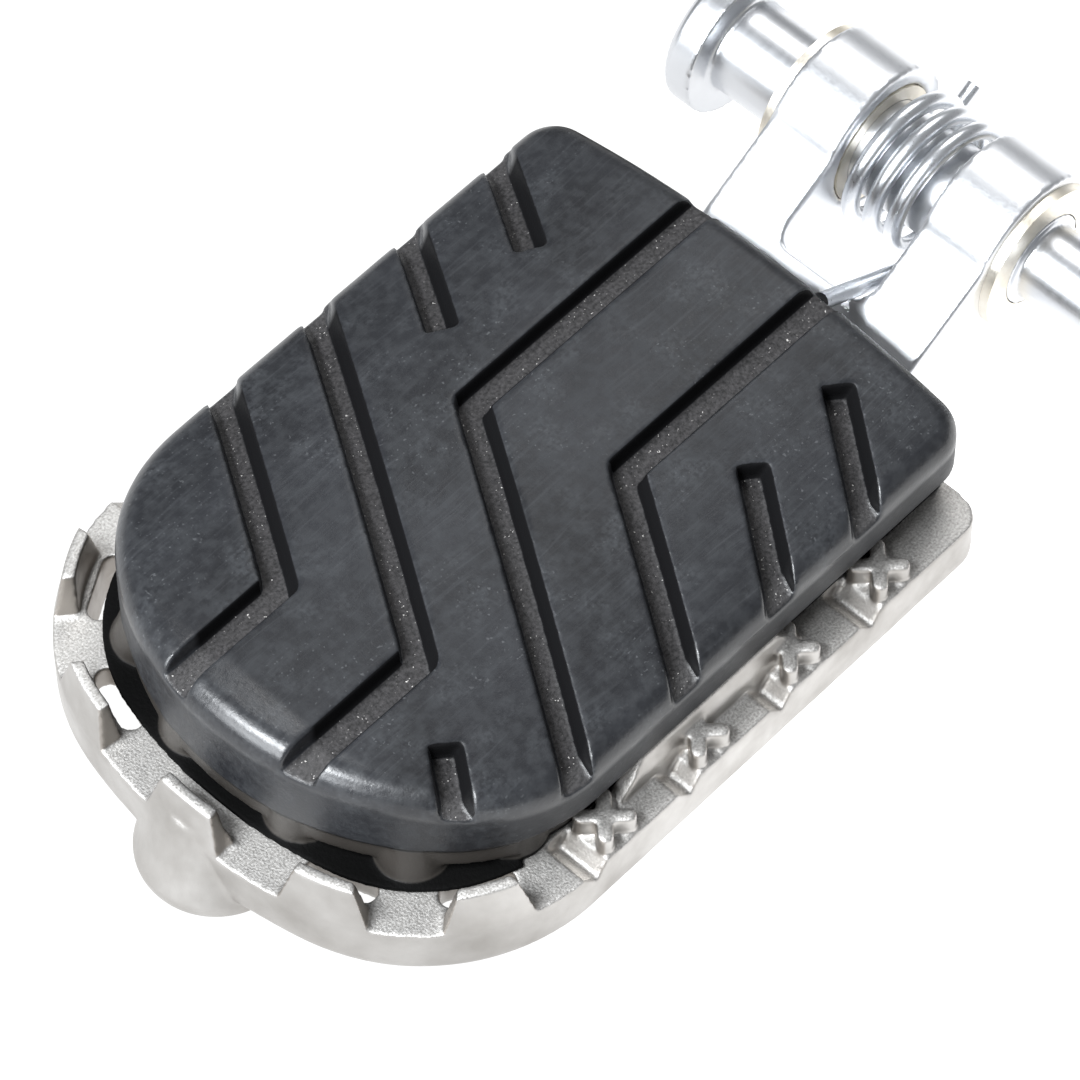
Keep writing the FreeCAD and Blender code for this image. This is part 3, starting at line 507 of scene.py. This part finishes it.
def wire_tree():
    """Geometry nodes that sweep a round wire along a path."""
    tree = bpy.data.node_groups.new("spring_wire", "GeometryNodeTree")
    tree.interface.new_socket("Path", in_out="INPUT", socket_type="NodeSocketGeometry")
    radius = tree.interface.new_socket("Wire Radius", in_out="INPUT", socket_type="NodeSocketFloat")
    sides = tree.interface.new_socket("Wire Sides", in_out="INPUT", socket_type="NodeSocketInt")
    finish = tree.interface.new_socket("Finish", in_out="INPUT", socket_type="NodeSocketMaterial")
    tree.interface.new_socket("Wire", in_out="OUTPUT", socket_type="NodeSocketGeometry")
    start = tree.nodes.new("NodeGroupInput")
    section = tree.nodes.new("GeometryNodeCurvePrimitiveCircle")
    sweep = tree.nodes.new("GeometryNodeCurveToMesh")
    sweep.inputs["Fill Caps"].default_value = True
    real = tree.nodes.new("GeometryNodeRealizeInstances")
    shade = tree.nodes.new("GeometryNodeSetShadeSmooth")
    paint = tree.nodes.new("GeometryNodeSetMaterial")
    end = tree.nodes.new("NodeGroupOutput")
    tree.links.new(start.outputs["Wire Radius"], section.inputs["Radius"])
    tree.links.new(start.outputs["Wire Sides"], section.inputs["Resolution"])
    tree.links.new(start.outputs["Path"], sweep.inputs["Curve"])
    tree.links.new(section.outputs["Curve"], sweep.inputs["Profile Curve"])
    tree.links.new(sweep.outputs["Mesh"], shade.inputs["Geometry"])
    tree.links.new(shade.outputs["Geometry"], real.inputs["Geometry"])
    tree.links.new(real.outputs["Geometry"], paint.inputs["Geometry"])
    tree.links.new(start.outputs["Finish"], paint.inputs["Material"])
    tree.links.new(paint.outputs["Geometry"], end.inputs["Wire"])
    return tree, radius.identifier, sides.identifier, finish.identifier


def coil_spring(material):
    """The return spring as one swept wire that winds up between pin and peg."""
    curve = bpy.data.curves.new("spring_path", "CURVE")
    curve.dimensions = "3D"
    line = curve.splines.new("POLY")
    path = spring_path()
    line.points.add(len(path) - 1)
    for point, spot in zip(line.points, path):
        point.co = (*spot, 1)
    carrier = bpy.data.objects.new("spring_path", curve)
    bpy.context.scene.collection.objects.link(carrier)
    tree, radius, sides, finish = wire_tree()
    sweep = carrier.modifiers.new("wire", "NODES")
    sweep.node_group = tree
    sweep[radius] = WIRE_RADIUS
    sweep[sides] = WIRE_SIDES
    sweep[finish] = material
    graph = bpy.context.evaluated_depsgraph_get()
    mesh = bpy.data.meshes.new_from_object(carrier.evaluated_get(graph))
    bpy.data.objects.remove(carrier)
    spring = bpy.data.objects.new("coil_spring", mesh)
    bpy.context.scene.collection.objects.link(spring)
    return spring


# Finishes, then the pieces that take the place of solids; every other solid keeps its shape
steel = cast_steel()
rubber = pad_rubber()
joint_finish = bright_steel("joint_steel", (0.78, 0.795, 0.82), 0.36, (1, 1, 1))
pin_finish = bright_steel("ground_pin", (0.68, 0.695, 0.72), 0.32, (0.1, 2.0, 0.1))
fastener_finish = bright_steel("plain_fastener", (0.62, 0.62, 0.62), 0.32, (1, 1, 1))
spring_finish = bright_steel("spring_wire", (0.78, 0.8, 0.83), 0.3, (1, 1, 1))
bronze = bearing_bronze()

casting = softened("platform", "rim_casting", voxel_mm=0.25, passes=5, unevenness_mm=0.03)
dress(casting, "peg", steel)
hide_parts("platform")

tread = softened(
    "tread_pad", "tread_rubber", voxel_mm=0.22, passes=9, unevenness_mm=0.02, reshape=lean_groove_walls)
dress(tread, "peg", rubber)
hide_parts("tread_pad")

joint = softened("hinge_joint", "hinge_forging", voxel_mm=0.34, passes=4, unevenness_mm=0.02)
dress(joint, "peg", joint_finish)
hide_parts("hinge_joint")

pin = softened("pivot_pin", "headed_pin", voxel_mm=0.25, passes=2)
dress(pin, "pivot", pin_finish)
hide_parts("pivot_pin")

spring = coil_spring(spring_finish)
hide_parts("return_spring")
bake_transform(spring)

for name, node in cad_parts.items():
    if node.hide_render:
        continue
    finish = bronze if "bush" in name or "insert" in name else fastener_finish
    node.data.materials.clear()
    node.data.materials.append(finish)


# Table, light and camera

def softbox(name, size, power, offset, colour=(1, 1, 1)):
    """A rectangular light set off from the peg's middle and turned towards it."""
    place = middle + Vector(offset)
    data = bpy.data.lights.new(name, "AREA")
    data.shape = "RECTANGLE"
    data.size, data.size_y = size
    data.energy = power
    data.color = colour
    lamp = bpy.data.objects.new(name, data)
    bpy.context.scene.collection.objects.link(lamp)
    lamp.location = place
    lamp.rotation_euler = (middle - place).to_track_quat("-Z", "Y").to_euler()


middle = Vector((MIDDLE_X, MIDDLE_Y, 0))
cool = (0.94, 0.97, 1)
bpy.ops.mesh.primitive_plane_add(size=TABLE_WIDTH, location=(middle.x, middle.y, TABLE_Z - TABLE_GAP))
table = bpy.context.object
table.name = "white_table"
table.data.materials.append(lit_table())

world = bpy.data.worlds.new("studio")
bpy.context.scene.world = world
world.use_nodes = True
sky = world.node_tree.nodes["Background"]
sky.inputs["Color"].default_value = (0.95, 0.97, 1.0, 1)
sky.inputs["Strength"].default_value = 0.3
softbox("key_softbox", size=(0.25, 0.25), power=1.2, offset=(-0.33, -0.17, 0.47))
softbox("top_softbox", size=(0.36, 0.1), power=6.5, offset=(0.32, -0.05, 0.48), colour=cool)
softbox("nose_softbox", size=(0.5, 0.2), power=3.6, offset=(0.5, -0.03, 0.28), colour=cool)

level = math.cos(CAMERA_ELEVATION)
back_x = math.sin(CAMERA_AZIMUTH) * level
back_y = -math.cos(CAMERA_AZIMUTH) * level
back = Vector((back_x, back_y, math.sin(CAMERA_ELEVATION)))
right = Vector((math.cos(CAMERA_AZIMUTH), math.sin(CAMERA_AZIMUTH), 0))
up = back.cross(right)
eye = CAMERA_TARGET + CAMERA_DISTANCE * back + CAMERA_ASIDE * (right - up)
data = bpy.data.cameras.new("photo_camera")
data.lens = CAMERA_LENS
data.sensor_width = CAMERA_SENSOR
data.clip_start = CAMERA_NEAR
camera = bpy.data.objects.new("photo_camera", data)
bpy.context.scene.collection.objects.link(camera)
camera.matrix_world = Matrix.Translation(eye) @ Matrix((right, up, back)).transposed().to_4x4()
bpy.context.scene.camera = camera
bpy.context.scene.view_settings.view_transform = "Standard"
